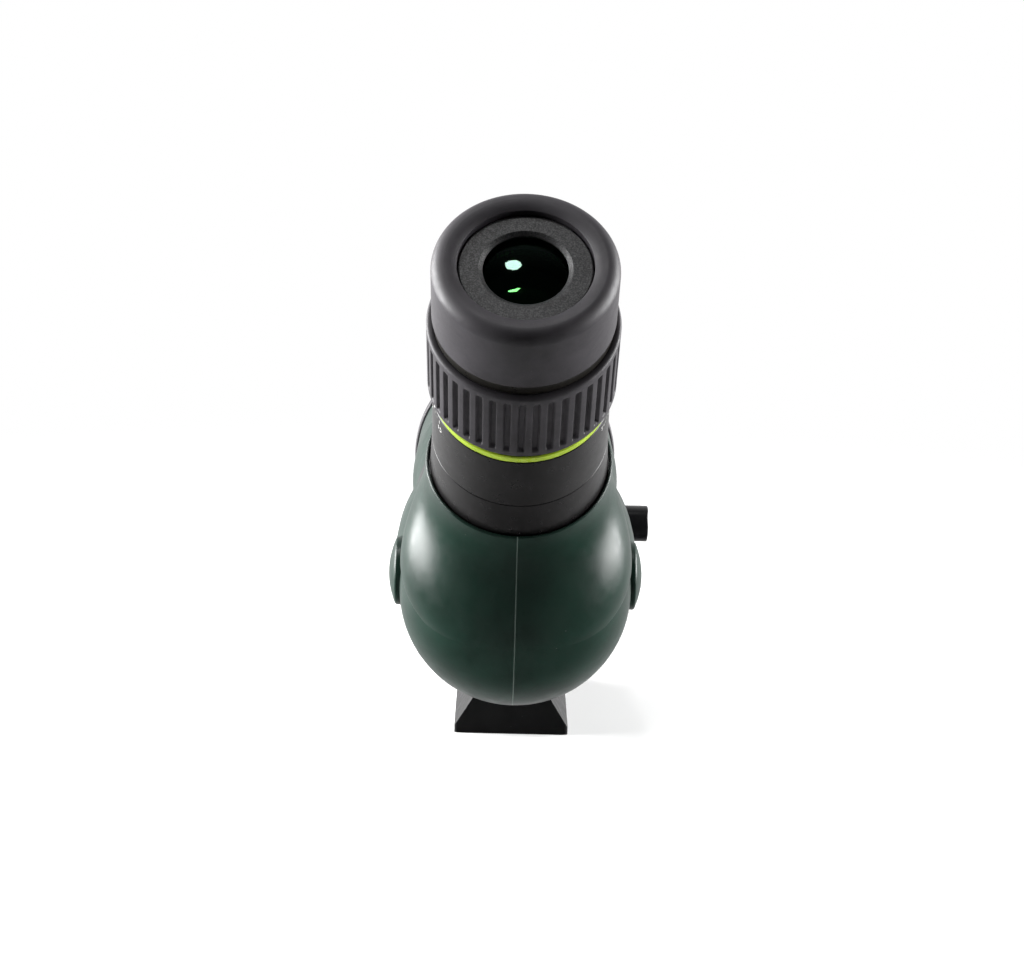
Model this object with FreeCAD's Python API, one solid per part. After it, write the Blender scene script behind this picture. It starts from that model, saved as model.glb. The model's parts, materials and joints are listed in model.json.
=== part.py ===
import FreeCAD, Part

import math
import os

os.makedirs("parts", exist_ok=True)
V = FreeCAD.Vector

# An angled zoom spotting scope in its tripod collar, in millimetres.
# Origin: mouth of the tripod thread in the foot's base.  +Z is up, +Y runs along the
# optical axis towards the objective, +X is to the right of a person at the eyepiece.

# --- overall layout -------------------------------------------------------------------
AXIS_Z = 62.0             # optical axis above the foot's base
CROSS_Y = -50.0           # where the eyepiece axis meets the optical axis
EYE_TILT = 45.0           # eyepiece axis above the optical axis, degrees
EYE_REACH = 155.6         # from that crossing to the eyepiece's face
RUN = 0.05                # radial clearance of running and seating fits
GAP = 0.3                 # gap between pieces that move past each other
WALL = 2.6                # moulded housing wall

# --- eyepiece: depths run from its face down towards the body ---------------------------
EYECUP_R = 26.0
EYECUP_RISE = 2.6         # rim of the cup above the eyepiece's face
RIM_DIP = 1.1             # the rim slopes down by this much to the bezel
RIM_ROUND = 3.6           # outer rounding of the rim
EYECUP_DEPTH = 20.0
EYECUP_LIP = 2.6          # thickness of the lip that surrounds the bezel
BEZEL_R = 18.6
EYE_APERTURE_R = 11.8
SLEEVE_END = 23.3
SLEEVE_R = 25.5
OCULAR_R = 22.0
CARRIER_WALL = 1.1
GRIP_END = 51.6
GRIP_R = 27.5             # over the ribs
GRIP_GROOVE = 0.9
GRIP_RIBS = 42
GRIP_COLLAR = 2.3         # plain band above and below the ribs
ZOOM_RING_WALL = 3.2
ZOOM_RING_END = 54.2
ACCENT_END = 56.8
ACCENT_R = 25.8
BARREL_R = 26.0
BARREL_SEAM = 79.1
BARREL_END_R = 27.2
SEAT_DEPTH = 93.5         # where the eyepiece enters the housing's lip
SPIGOT_R = 24.5
SPIGOT_END = 106.0
GUIDE_R = 19.5            # outside of the tube that guides the zoom lenses
GUIDE_WALL = 1.5
GUIDE_TOP = 8.0
GUIDE_END = 100.0
CAM_WALL = 1.45
CAM_TOP = 26.0
CAM_END = 88.0
ZOOM_ANGLE = 120.0        # turn of the zoom ring
VARIATOR_PIN = 40.0
VARIATOR_TRAVEL = 12.0
COMPENSATOR_PIN = 80.0
COMPENSATOR_TRAVEL = -5.0
PIN_R = 1.2
CELL_LENGTH = 10.0

# --- housing ----------------------------------------------------------------------------
BALL_R = 37.0             # rear ball of the housing
BALL_Y = -69.0
BALL_DROP = 3.6           # its centre below the optical axis
HULL_R = 39.8             # housing ahead of the ball
SWELL_LENGTH = 32.0       # from the ball's centre to that full radius
TAPER_START = -30.0       # from here the housing narrows towards the collar
HOUSING_FRONT = -2.0
HULL_FRONT_R = 36.4
LIP_R = 28.6
LIP_BORE = 27.7
LIP_RECESS = 2.2
LIP_LENGTH = 0.8          # rounded edge of the neck
CREASE_R = 36.6           # where the eyepiece dome meets the ball
CREASE_DEPTH = 131.8
CREASE_OFFSET = 12.9      # that circle's centre behind the eyepiece axis
CAP_R = 11.0
CAP_Y = -58.0
CAP_DROP = 1.0
CAP_OUT = 41.0            # middle of the domed side caps from the centre plane
CAP_DOME = 2.4            # how far that dome stands beyond its edge
CAP_BACK = 36.4

BOSS_PLACE = (-50.0, 31.0)
HOUSING_SCREWS = ((-53.0, 106.0, 4.6), (-14.0, 26.4, 9.8), (*BOSS_PLACE, 16.0))
SCREW_R = 1.25
SCREW_HEAD_R = 2.2
SCREW_REACH = 5.0         # threaded length in the left half

# --- prism ------------------------------------------------------------------------------
PRISM_HALF = 12.0         # half the prism's width
PRISM_SIDE = 34.0         # length of its entrance and exit faces
PRISM_ENTRY = 17.0        # from its upper edge down to the optical axis
HOLDER_R = 36.4
HOLDER_PLATE = 2.0
HOLDER_POST_R = 34.7      # posts' distance from the optical axis

# --- focusing ---------------------------------------------------------------------------
FOCUS_RISE = 52.5         # focus knob's axis above the optical axis
FOCUS_KNOB_R = 11.5
FOCUS_KNOB_Y = -43.0
FOCUS_KNOB_LENGTH = 22.0
FOCUS_HUB_R = 5.0
FOCUS_HUB_LENGTH = 3.0
FOCUS_TRAVEL = 4.5        # each way
ROD_R = 2.5
POD_R = 8.0
POD_BACK = -62.0
ARM_WIDTH = 6.0
ARM_LENGTH = 4.0
FOCUS_CELL_R = 26.0
FOCUS_CELL_WALL = 2.5
FOCUS_GRIP_WALL = 1.5
FOCUS_RIBS = 36
FOCUS_CELL_BACK = -14.5
FOCUS_CELL_FRONT = 25.0
FOCUS_SLEEVE = (2.0, 32.0)

# --- main tube, objective and sunshade ----------------------------------------------------
TUBE_R = 33.2
TUBE_WALL = 2.2
TUBE_BACK = -26.0
FLARE_START = 36.0
FLARE_END = 84.0
FRONT_R = 36.8
TUBE_FRONT = 130.0
ARMOUR_START = 32.0
ARMOUR_END = 88.0
ARMOUR_SKIN = 1.7
SHADE_R = 39.2
SHADE_WALL = 1.8
SHADE_FRONT = 140.0
RIM_LENGTH = 8.0
RIM_R = 40.4
OBJECTIVE_R = 32.0
CELL_BACK = 98.0
CELL_FRONT = 125.0
CROWN_THICK = 9.0
FLINT_THICK = 5.0
SPACER = 3.0
RETAINER_WALL = 1.8
RIM_STEP = 0.8            # the sunshade's wall is thinner under its rubber rim
FELT = (118.0, 126.0)     # felt strip that the sunshade slides on

# --- tripod collar and foot ---------------------------------------------------------------
COLLAR_Y = 15.0
COLLAR_WIDTH = 28.0
COLLAR_R = 36.9
LINER_WALL = 0.75
LOCK_R = 6.4
LOCK_OUT = 47.0           # lock knob's end from the centre plane
LOCK_LENGTH = 8.0
LOCK_SCREW_R = 2.5
LOCK_BOSS_OUT = 38.5
FOOT_WIDTH = 38.4
FOOT_BACK = -38.0
FOOT_FRONT = 32.0
FOOT_LIP = 2.6
FOOT_TOP = 13.5
FOOT_TOP_WIDTH = 25.0
NECK_WIDTH = 20.0
FOOT_JOINT_Z = 22.0       # where the foot meets the collar
THREAD_R = 3.2            # 1/4 inch tripod thread, at its crests
THREAD_LENGTH = 10.0
INSERT_R = 5.0
FOOT_SCREWS_Y = (10.5, 22.5)
FOOT_SCREW_R = 2.45
FOOT_HEAD_R = 4.1
FOOT_HEAD_TOP = 5.2
SHOE_R = 4.0
SHOE_OUT = 35.2
SHOE_TRAVEL = 0.4

# --- derived sizes ------------------------------------------------------------------------
TILT = math.radians(EYE_TILT)
EYE_Y = CROSS_Y - EYE_REACH * math.cos(TILT)
EYE_RISE = EYE_REACH * math.sin(TILT)
CAM_R = GUIDE_R + RUN + CAM_WALL
CARRIER_R = OCULAR_R + RUN + CARRIER_WALL
RING_R = CAM_R + RUN + ZOOM_RING_WALL
PRISM_Y = CROSS_Y + PRISM_ENTRY * math.tan(TILT / 2)
PRISM_TOP = AXIS_Z + PRISM_ENTRY
FOCUS_CELL_BORE = FOCUS_CELL_R - FOCUS_CELL_WALL
FOCUS_KNOB_FRONT = FOCUS_KNOB_Y + FOCUS_KNOB_LENGTH
ARM_Y = FOCUS_KNOB_FRONT + FOCUS_HUB_LENGTH + FOCUS_TRAVEL + 3.0
TUBE_BORE = TUBE_R - TUBE_WALL
FRONT_BORE = FRONT_R - TUBE_WALL
SHADE_BORE = SHADE_R - SHADE_WALL
SHADE_BACK = ARMOUR_END + GAP
COLLAR_BACK = COLLAR_Y - COLLAR_WIDTH / 2
COLLAR_FRONT = COLLAR_Y + COLLAR_WIDTH / 2
COLLAR_BORE = TUBE_R + RUN + LINER_WALL + RUN
RIM_BACK = SHADE_FRONT + 2.0 - RIM_LENGTH
LENS_BACK = CELL_BACK + 4.0


# --- building blocks ------------------------------------------------------------------------
def save(name, *solids):
    shape = solids[0] if len(solids) == 1 else Part.makeCompound(list(solids))
    if len(solids) == 1 and len(shape.Solids) == 1:
        shape = shape.Solids[0]
    shape.exportStep("parts/%s.step" % name)
    print(name, len(shape.Solids), round(shape.Volume), shape.isValid())


def rod(radius, start, end):
    return Part.makeCylinder(radius, end - start, V(0, 0, start))


def ring(outer, inner, start, end):
    return rod(outer, start, end).cut(rod(inner, start - 1, end + 1))


def turned(points):
    """A closed outline of (radius, place) corners, turned about the local Z axis."""
    corners = [V(r, 0, z) for r, z in points]
    face = Part.Face(Part.makePolygon(corners + corners[:1]))
    return face.revolve(V(0, 0, 0), V(0, 0, 1), 360)


def rounded(solid, radius, picks):
    """Round the circular edges whose (radius, place) is near one of the picks."""
    edges = []
    for edge in solid.Edges:
        if edge.Degenerated or not isinstance(edge.Curve, Part.Circle):
            continue
        curve = edge.Curve
        for r, z in picks:
            if abs(curve.Radius - r) < 0.02 and abs(curve.Center.z - z) < 0.02:
                edges.append(edge)
    return solid.makeFillet(radius, edges)


def at_eye(shape):
    """Local Z becomes the eyepiece axis, from its face down to the body."""
    shape.rotate(V(0, 0, 0), V(1, 0, 0), -90 - EYE_TILT)
    shape.translate(V(0, EYE_Y, AXIS_Z + EYE_RISE))
    return shape


def on_axis(shape, rise=0.0):
    """Local Z becomes +Y, on the optical axis or above it."""
    shape.rotate(V(0, 0, 0), V(1, 0, 0), -90)
    shape.translate(V(0, 0, AXIS_Z + rise))
    return shape


def along_x(shape, y, z):
    """Local Z becomes +X through the point (y, z)."""
    shape.rotate(V(0, 0, 0), V(0, 1, 0), 90)
    shape.translate(V(0, y, z))
    return shape


def block(x, y, z):
    """A box from its low and high value on each axis."""
    return Part.makeBox(x[1] - x[0], y[1] - y[0], z[1] - z[0], V(x[0], y[0], z[0]))


def lens(radius, back, front, back_bulge, front_bulge):
    """A round lens; each bulge is how far that face stands out at its centre."""
    def cap(place, bulge):
        if abs(bulge) < 0.01:
            return [Part.LineSegment(V(0, 0, place), V(radius, 0, place))]
        middle = radius / 2
        ball = (radius ** 2 + bulge ** 2) / (2 * abs(bulge))
        sag = math.copysign(ball - math.sqrt(ball ** 2 - middle ** 2), bulge)
        top = place + bulge
        return [Part.Arc(V(0, 0, top), V(middle, 0, top - sag), V(radius, 0, place))]
    edge = Part.LineSegment(V(radius, 0, back), V(radius, 0, front))
    centre = Part.LineSegment(V(0, 0, back - back_bulge), V(0, 0, front + front_bulge))
    parts = cap(back, -back_bulge) + [edge] + cap(front, front_bulge) + [centre]
    wire = Part.Wire(Part.__sortEdges__([p.toShape() for p in parts]))
    return Part.Face(wire).revolve(V(0, 0, 0), V(0, 0, 1), 360)


def edge_rise(radius, bulge, inner):
    """How far a lens face stands beyond its edge at the inside of a ring that holds it."""
    return bulge * (1 - (inner / radius) ** 2) + RUN


def o_ring(radius, thickness, place):
    return Part.makeTorus(radius, thickness / 2, V(0, 0, place))


# --- eyepiece: eyecup and ocular --------------------------------------------------------------
def eyecup_rubber():
    """Its face slopes gently up from the bezel and rounds over to the side."""
    bore = SLEEVE_R - 1.0 + RUN
    lip = BEZEL_R + GAP
    top = -EYECUP_RISE
    crest = EYECUP_R - RIM_ROUND
    slope_r = ((crest - lip) ** 2 + RIM_DIP ** 2) / (2 * RIM_DIP)
    half = math.asin((crest - lip) / slope_r) / 2
    slope = Part.Arc(V(lip, 0, top + RIM_DIP),
                     V(crest - slope_r * math.sin(half), 0, top + slope_r * (1 - math.cos(half))),
                     V(crest, 0, top))
    turn = RIM_ROUND * math.sqrt(0.5)
    shoulder = Part.Arc(V(crest, 0, top), V(crest + turn, 0, top + RIM_ROUND - turn),
                        V(EYECUP_R, 0, top + RIM_ROUND))
    corners = [V(EYECUP_R, 0, top + RIM_ROUND), V(EYECUP_R, 0, EYECUP_DEPTH),
               V(bore, 0, EYECUP_DEPTH), V(bore, 0, EYECUP_LIP), V(lip, 0, EYECUP_LIP),
               V(lip, 0, top + RIM_DIP)]
    wire = Part.Wire([slope.toShape(), shoulder.toShape()] + Part.makePolygon(corners).Edges)
    body = Part.Face(wire).revolve(V(0, 0, 0), V(0, 0, 1), 360)
    return rounded(body, 0.6, [(EYECUP_R, EYECUP_DEPTH)])


def eyecup_sleeve():
    bore = CARRIER_R + RUN
    skirt = SLEEVE_R - 1.0
    return turned([
        (bore, EYECUP_LIP + 0.2), (skirt, EYECUP_LIP + 0.2), (skirt, EYECUP_DEPTH + RUN),
        (SLEEVE_R, EYECUP_DEPTH + RUN), (SLEEVE_R, SLEEVE_END), (bore, SLEEVE_END),
    ])


def eyecup_carrier():
    return ring(CARRIER_R, OCULAR_R + RUN, EYECUP_LIP + 0.6, SLEEVE_END - 0.3)


def ocular_bezel():
    face = turned([
        (EYE_APERTURE_R, 1.4), (EYE_APERTURE_R, 0.9), (EYE_APERTURE_R + 1.2, 0.0),
        (BEZEL_R - 0.4, 0.0), (BEZEL_R, 0.4), (BEZEL_R, 2.8), (GUIDE_R - 1.0, 2.8),
        (GUIDE_R - 1.0, 5.0), (15.6, 5.0), (15.6, 1.4),
    ])
    return face


def ocular_cell():
    """Carries the bezel, the eye lens and the top of the guide tube."""
    bore = GUIDE_R + RUN
    return turned([
        (GUIDE_R - 0.95, EYECUP_LIP + 0.6), (OCULAR_R, EYECUP_LIP + 0.6), (OCULAR_R, CAM_TOP - GAP),
        (bore, CAM_TOP - GAP), (bore, GUIDE_TOP), (15.1, GUIDE_TOP), (15.1, 5.05),
        (GUIDE_R - 0.95, 5.05),
    ])


def helical_slot(start, travel, first_angle):
    """Cutter for a slot that a fixed pin follows as the cam turns through the zoom angle."""
    steps = 12
    width = 2 * (PIN_R + GAP)
    arc = math.radians(ZOOM_ANGLE) * CAM_R
    slope = math.degrees(math.atan2(travel, arc))
    length = math.hypot(arc, travel) / steps + width
    cutters = []
    for i in range(steps + 1):
        share = i / steps
        piece = Part.makeBox(6, length, width, V(CAM_R - 3, -length / 2, -width / 2))
        piece.rotate(V(CAM_R, 0, 0), V(1, 0, 0), -slope)
        piece.translate(V(0, 0, start + travel * share))
        piece.rotate(V(0, 0, 0), V(0, 0, 1), first_angle - ZOOM_ANGLE * share)
        cutters.append(piece)
    return cutters


def zoom_cam():
    tube = ring(CAM_R, GUIDE_R + RUN, CAM_TOP, CAM_END)
    cutters = []
    for first in (0, 180):
        cutters += helical_slot(VARIATOR_PIN, VARIATOR_TRAVEL, first)
        cutters += helical_slot(COMPENSATOR_PIN, COMPENSATOR_TRAVEL, first)
    return tube.cut(cutters)


def guide_slot(start, travel):
    low = min(start, start + travel) - PIN_R - GAP
    high = max(start, start + travel) + PIN_R + GAP
    half = PIN_R + RUN
    return block((-GUIDE_R - 2, GUIDE_R + 2), (-half, half), (low, high))


def guide_tube():
    tube = ring(GUIDE_R, GUIDE_R - GUIDE_WALL, GUIDE_TOP, GUIDE_END)
    tube = tube.cut(guide_slot(VARIATOR_PIN, VARIATOR_TRAVEL))
    return tube.cut(guide_slot(COMPENSATOR_PIN, COMPENSATOR_TRAVEL))


def zoom_cell(pin_depth, lens_radius):
    bore = GUIDE_R - GUIDE_WALL - RUN
    low = pin_depth - CELL_LENGTH / 2
    high = pin_depth + CELL_LENGTH / 2
    cell = turned([
        (lens_radius - 1.5, low), (bore, low), (bore, high), (lens_radius + RUN, high),
        (lens_radius + RUN, low + 2), (lens_radius - 1.5, low + 2),
    ])
    holes = along_x(rod(PIN_R, -bore - 1, bore + 1), 0, pin_depth)
    core = rod(lens_radius + RUN, low - 1, high + 1)
    return cell.cut(holes.cut(core))


def zoom_pins(pin_depth, lens_radius):
    bar = along_x(rod(PIN_R, -CAM_R + 0.2, CAM_R - 0.2), 0, pin_depth)
    pins = bar.cut(rod(lens_radius + 2 * RUN, pin_depth - 5, pin_depth + 5))
    return pins.Solids


def ribbed_grip():
    body = ring(GRIP_R, RING_R + RUN, SLEEVE_END + GAP, GRIP_END)
    body = rounded(body, 0.8, [(GRIP_R, SLEEVE_END + GAP), (GRIP_R, GRIP_END)])
    pitch = 2 * math.pi * GRIP_R / GRIP_RIBS
    start = SLEEVE_END + GAP + GRIP_COLLAR
    end = GRIP_END - GRIP_COLLAR
    cutters = []
    for i in range(GRIP_RIBS):
        cut = block((GRIP_R - GRIP_GROOVE, GRIP_R + 2), (-pitch * 0.19, pitch * 0.19),
                    (start, end))
        cut.rotate(V(0, 0, 0), V(0, 0, 1), 360.0 * i / GRIP_RIBS)
        cutters.append(cut)
    return body.cut(cutters)


def zoom_ring():
    bore = CAM_R + RUN
    return turned([
        (bore, CAM_TOP), (RING_R, CAM_TOP), (RING_R, GRIP_END + 0.1),
        (ACCENT_R - 0.5, GRIP_END + 0.1), (ACCENT_R - 0.5, ZOOM_RING_END), (bore, ZOOM_RING_END),
    ])


def barrel_upper():
    bore = CAM_R + GAP
    step = BARREL_R - 2.0
    top = ZOOM_RING_END + GAP
    return turned([
        (bore, top), (step, top), (step, ACCENT_END), (BARREL_R - 0.3, ACCENT_END),
        (BARREL_R, ACCENT_END + 0.3), (BARREL_R + 0.4, BARREL_SEAM - 0.3),
        (BARREL_R + 0.1, BARREL_SEAM), (bore, BARREL_SEAM),
    ])


def accent_ring():
    top = ZOOM_RING_END + GAP
    bore = BARREL_R - 2.0 + RUN
    return turned([
        (bore, top), (ACCENT_R - 0.3, top), (ACCENT_R, top + 0.3),
        (ACCENT_R, ACCENT_END - 0.05), (bore, ACCENT_END - 0.05),
    ])


def barrel_lower():
    """Locks the eyepiece into the housing; its spigot carries the seal."""
    bore = CAM_R + GAP
    tube = GUIDE_R + RUN
    skirt = SEAT_DEPTH + LIP_RECESS - 0.3
    seal = SPIGOT_END - 5.0
    return turned([
        (bore, BARREL_SEAM), (BARREL_R + 0.1, BARREL_SEAM), (BARREL_R + 0.4, BARREL_SEAM + 0.3),
        (BARREL_END_R, skirt), (SPIGOT_R, skirt), (SPIGOT_R, seal - 1.0),
        (SPIGOT_R - 1.2, seal - 1.0), (SPIGOT_R - 1.2, seal + 1.0), (SPIGOT_R, seal + 1.0),
        (SPIGOT_R, SPIGOT_END), (tube, SPIGOT_END), (tube, CAM_END + GAP), (bore, CAM_END + GAP),
    ])


def make_eyepiece():
    save("eyecup_rubber", at_eye(eyecup_rubber()))
    save("eyecup_sleeve", at_eye(eyecup_sleeve()))
    save("eyecup_carrier", at_eye(eyecup_carrier()))
    save("ocular_bezel", at_eye(ocular_bezel()))
    save("ocular_cell", at_eye(ocular_cell()))
    save("eye_lens", at_eye(lens(15.0, 3.2, 8.0, 1.8, 0.0)))
    save("ocular_doublet", at_eye(lens(GUIDE_R - GUIDE_WALL - RUN, 14.0, 21.0, 2.5, 2.5)))
    save("guide_tube", at_eye(guide_tube()))
    save("zoom_cam", at_eye(zoom_cam()))
    save("zoom_ring", at_eye(zoom_ring()))
    save("zoom_grip", at_eye(ribbed_grip()))
    save("accent_ring", at_eye(accent_ring()))
    save("barrel_upper", at_eye(barrel_upper()))
    save("barrel_lower", at_eye(barrel_lower()))
    save("eyepiece_seal", at_eye(o_ring(SPIGOT_R - 0.6, 1.1, SPIGOT_END - 5.0)))
    save("field_lens", at_eye(lens(GUIDE_R - GUIDE_WALL - RUN, 90.0, 94.0, 0.0, 2.0)))
    for name, depth, radius in (("variator", VARIATOR_PIN, 14.5),
                                ("compensator", COMPENSATOR_PIN, 13.5)):
        save(name + "_cell", at_eye(zoom_cell(depth, radius)))
        back = depth - CELL_LENGTH / 2 + 2.0
        save(name + "_lens", at_eye(lens(radius, back, back + 4.5, -1.0, -1.0)))
        save(name + "_pins", *[at_eye(pin) for pin in zoom_pins(depth, radius)])


# --- housing ---------------------------------------------------------------------------------
def circle_wire(centre, normal, radius):
    return Part.Wire(Part.makeCircle(radius, centre, normal))


def eye_point(depth, behind=0.0):
    """A point on the eyepiece axis, or behind it, in the object's frame."""
    y = EYE_Y + depth * math.cos(TILT) - behind * math.sin(TILT)
    z = AXIS_Z + EYE_RISE - depth * math.sin(TILT) - behind * math.cos(TILT)
    return V(0, y, z)


def dome(inset):
    """The neck that carries the eyepiece, swelling rearwards down to the ball."""
    normal = V(0, math.cos(TILT), -math.sin(TILT))
    swell = CREASE_R - LIP_R
    start = SEAT_DEPTH + LIP_LENGTH
    length = CREASE_DEPTH - start
    wires = []
    for along, share in ((0.0, 0.0), (0.15, 0.03), (0.35, 0.20), (0.46, 0.37), (0.6, 0.62),
                         (0.82, 0.91), (1.0, 1.0)):
        centre = eye_point(start + length * along, CREASE_OFFSET * share)
        wires.append(circle_wire(centre, normal, LIP_R + swell * share - inset))
    return Part.makeLoft(wires, True)


def hull(inset):
    """The rear ball and the round body ahead of it, which narrows to the collar."""
    ball = Part.makeSphere(BALL_R - inset, V(0, BALL_Y, AXIS_Z - BALL_DROP))
    wires = []
    for ahead, drop, share in ((0.0, 1.0, 0.0), (9.0, 0.75, 0.45), (18.0, 0.3, 0.85),
                               (26.0, 0.0, 1.0), (SWELL_LENGTH, 0.0, 1.0)):
        centre = V(0, BALL_Y + ahead, AXIS_Z - BALL_DROP * drop)
        radius = BALL_R + (HULL_R - BALL_R) * share - inset
        wires.append(circle_wire(centre, V(0, 1, 0), radius))
    body = Part.makeLoft(wires, True)
    middle = on_axis(rod(HULL_R - inset, BALL_Y + SWELL_LENGTH, TAPER_START))
    wires = []
    for along, share in ((0.0, 0.0), (0.25, 0.12), (0.5, 0.5), (0.75, 0.88), (1.0, 1.0)):
        centre = V(0, TAPER_START + (HOUSING_FRONT - TAPER_START) * along, AXIS_Z)
        radius = HULL_R + (HULL_FRONT_R - HULL_R) * share - inset
        wires.append(circle_wire(centre, V(0, 1, 0), radius))
    return ball.fuse([body, middle, Part.makeLoft(wires, True)])


def focus_pod():
    """The ridge on top that holds the focus knob between two posts."""
    top = on_axis(rod(POD_R, POD_BACK, HOUSING_FRONT), FOCUS_RISE)
    web = block((-POD_R, POD_R), (POD_BACK, HOUSING_FRONT),
                (AXIS_Z + HULL_R - 6, AXIS_Z + FOCUS_RISE))
    pocket = rod(FOCUS_KNOB_R + 0.8, FOCUS_KNOB_Y - GAP, FOCUS_KNOB_FRONT + GAP)
    return top.fuse(web).cut(on_axis(pocket, FOCUS_RISE))


def focus_cavity():
    """Bores and slot for the focus knob's hubs, the rod and the arm."""
    hub_back = FOCUS_KNOB_Y - FOCUS_HUB_LENGTH
    hub_front = FOCUS_KNOB_FRONT + FOCUS_HUB_LENGTH
    hubs = on_axis(rod(FOCUS_HUB_R + RUN, hub_back - GAP, hub_front + GAP), FOCUS_RISE)
    bore = on_axis(rod(ROD_R + RUN, hub_back - 2 * FOCUS_TRAVEL - 0.5, ARM_Y), FOCUS_RISE)
    half = ARM_WIDTH / 2 + 0.5
    reach = ARM_LENGTH / 2 + FOCUS_TRAVEL + 0.5
    slot = block((-half, half), (ARM_Y - reach, ARM_Y + reach),
                 (AXIS_Z, AXIS_Z + FOCUS_RISE + ROD_R + 1))
    return hubs.fuse([bore, slot])


def housing_lip():
    """The rounded edge of the neck, round the eyepiece."""
    lip = ring(LIP_R, LIP_BORE, SEAT_DEPTH, SEAT_DEPTH + LIP_LENGTH)
    return rounded(lip, 0.4, [(LIP_R, SEAT_DEPTH), (LIP_BORE, SEAT_DEPTH)])


def housing(half):
    """One half of the housing; half is all the space on its side of the centre plane."""
    lip_floor = SEAT_DEPTH + LIP_RECESS
    outer = hull(0.0).fuse([dome(0.0), focus_pod()])
    inner = hull(WALL).cut(on_axis(rod(60, TUBE_BACK, 20)))
    inner = inner.fuse(dome(WALL)).cut(at_eye(rod(60, 0, SPIGOT_END)))
    shell = outer.cut(inner).common(half)
    shell = shell.cut(at_eye(rod(SPIGOT_R + RUN, SEAT_DEPTH - 5, SPIGOT_END + 5)))
    shell = shell.cut(at_eye(rod(LIP_BORE, SEAT_DEPTH - 5, lip_floor)))
    shell = shell.fuse(at_eye(housing_lip()).common(half))
    shell = shell.cut(on_axis(rod(TUBE_R + RUN, TUBE_BACK - 1, HOUSING_FRONT + 1)))
    shell = shell.cut(focus_cavity())
    post = along_x(rod(3.4, -45, 45), *BOSS_PLACE)
    shell = shell.fuse(post.common(hull(WALL / 2)).common(half))
    for side in (-1, 1):
        seat = along_x(rod(CAP_R + RUN, CAP_BACK, CAP_BACK + 20), CAP_Y, AXIS_Z - CAP_DROP)
        if side < 0:
            seat = seat.mirror(V(0, 0, 0), V(1, 0, 0))
        shell = shell.cut(seat)
    for y, z, head in HOUSING_SCREWS:
        shell = shell.cut(along_x(rod(SCREW_R + RUN, -SCREW_REACH - 1, 45), y, z))
        shell = shell.cut(along_x(rod(SCREW_HEAD_R + 0.2, head, 45), y, z))
    for x, z in holder_posts():
        hole = on_axis(rod(1.0 + RUN, TUBE_BACK - 1, TUBE_BACK + 6))
        hole.translate(V(x, 0, z))
        shell = shell.cut(hole)
    return shell


def side_cap(side):
    """A shallow domed cap pressed into the side of the housing."""
    edge = CAP_OUT - CAP_DOME
    ball = (CAP_R ** 2 + CAP_DOME ** 2) / (2 * CAP_DOME)
    cap = rod(CAP_R, CAP_BACK, CAP_OUT).common(Part.makeSphere(ball, V(0, 0, CAP_OUT - ball)))
    cap = rounded(cap, 0.8, [(CAP_R, edge)])
    cap = along_x(cap, CAP_Y, AXIS_Z - CAP_DROP)
    return cap if side > 0 else cap.mirror(V(0, 0, 0), V(1, 0, 0))


def housing_screw(y, z, head):
    cap = rod(SCREW_HEAD_R, head, head + 2.0)
    key = rod(1.0, head + 0.8, head + 2.5)
    return along_x(rod(SCREW_R, -SCREW_REACH, head).fuse(cap).cut(key), y, z)


def make_housing():
    big = 300.0
    save("housing_left", housing(block((-big, 0), (-big, big), (-big, big))))
    save("housing_right", housing(block((0, big), (-big, big), (-big, big))))
    save("side_cap_left", side_cap(-1))
    save("side_cap_right", side_cap(1))
    save("housing_screws", *[housing_screw(*place) for place in HOUSING_SCREWS])


# --- prism ------------------------------------------------------------------------------------
def wedge_outline(grow):
    """Side view of the prism: 45 degrees between its entrance and exit faces."""
    side = PRISM_SIDE + grow
    low = V(0, PRISM_Y, PRISM_TOP - side)
    back = V(0, PRISM_Y - side * math.sin(TILT), PRISM_TOP - side * math.cos(TILT))
    return [V(0, PRISM_Y, PRISM_TOP), low, back]


def extruded(points, start, end):
    """A side-view outline of (x ignored, y, z) points, given thickness along X."""
    face = Part.Face(Part.makePolygon(points + points[:1]))
    face.translate(V(start, 0, 0))
    return face.extrude(V(end - start, 0, 0))


def roof_prism():
    """The wedge's third side is a roof of two faces at right angles."""
    top, low, back = wedge_outline(0)
    middle = (low + back) * 0.5
    along = (back - low).normalize()
    inward = (top - middle).normalize()
    reach = PRISM_SIDE + PRISM_HALF
    start = middle - along * reach
    corners = [start, start + inward * reach + V(reach, 0, 0), start + inward * reach - V(reach, 0, 0)]
    roof = Part.Face(Part.makePolygon(corners + corners[:1])).extrude(along * (2 * reach))
    wedge = extruded([top, low, back], -PRISM_HALF, PRISM_HALF)
    tips = [block((-50, 50), (-200, 200), (PRISM_TOP - 1.5, PRISM_TOP + 9))]
    return wedge.common(roof).cut(tips)


def holder_posts():
    return [(HOLDER_POST_R * math.cos(a), HOLDER_POST_R * math.sin(a))
            for a in (math.radians(30), math.radians(150), math.radians(270))]


def prism_holder():
    """Front plate on three posts, with two cheeks that hold the prism."""
    face = PRISM_Y + RUN
    plate = rod(HOLDER_R, face, face + HOLDER_PLATE)
    for x, z in holder_posts():
        post = rod(1.9, face, TUBE_BACK)
        post.translate(V(x, -z, 0))
        plate = plate.fuse(post)
    for x, z in holder_posts():
        hole = rod(1.0 + RUN, face - 1, TUBE_BACK + 1)
        hole.translate(V(x, -z, 0))
        plate = plate.cut(hole)
    holder = on_axis(plate.cut(rod(11.0, face - 1, face + HOLDER_PLATE + 1)))
    inner = PRISM_HALF + RUN
    for start in (inner, -inner - HOLDER_PLATE):
        cheek = extruded(wedge_outline(1.0), start, start + HOLDER_PLATE)
        cheek.translate(V(0, RUN, 0))
        holder = holder.fuse(cheek)
    for side in (-1, 1):
        holder = holder.cut(strap_screw(side, 0.05))
    return holder


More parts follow.
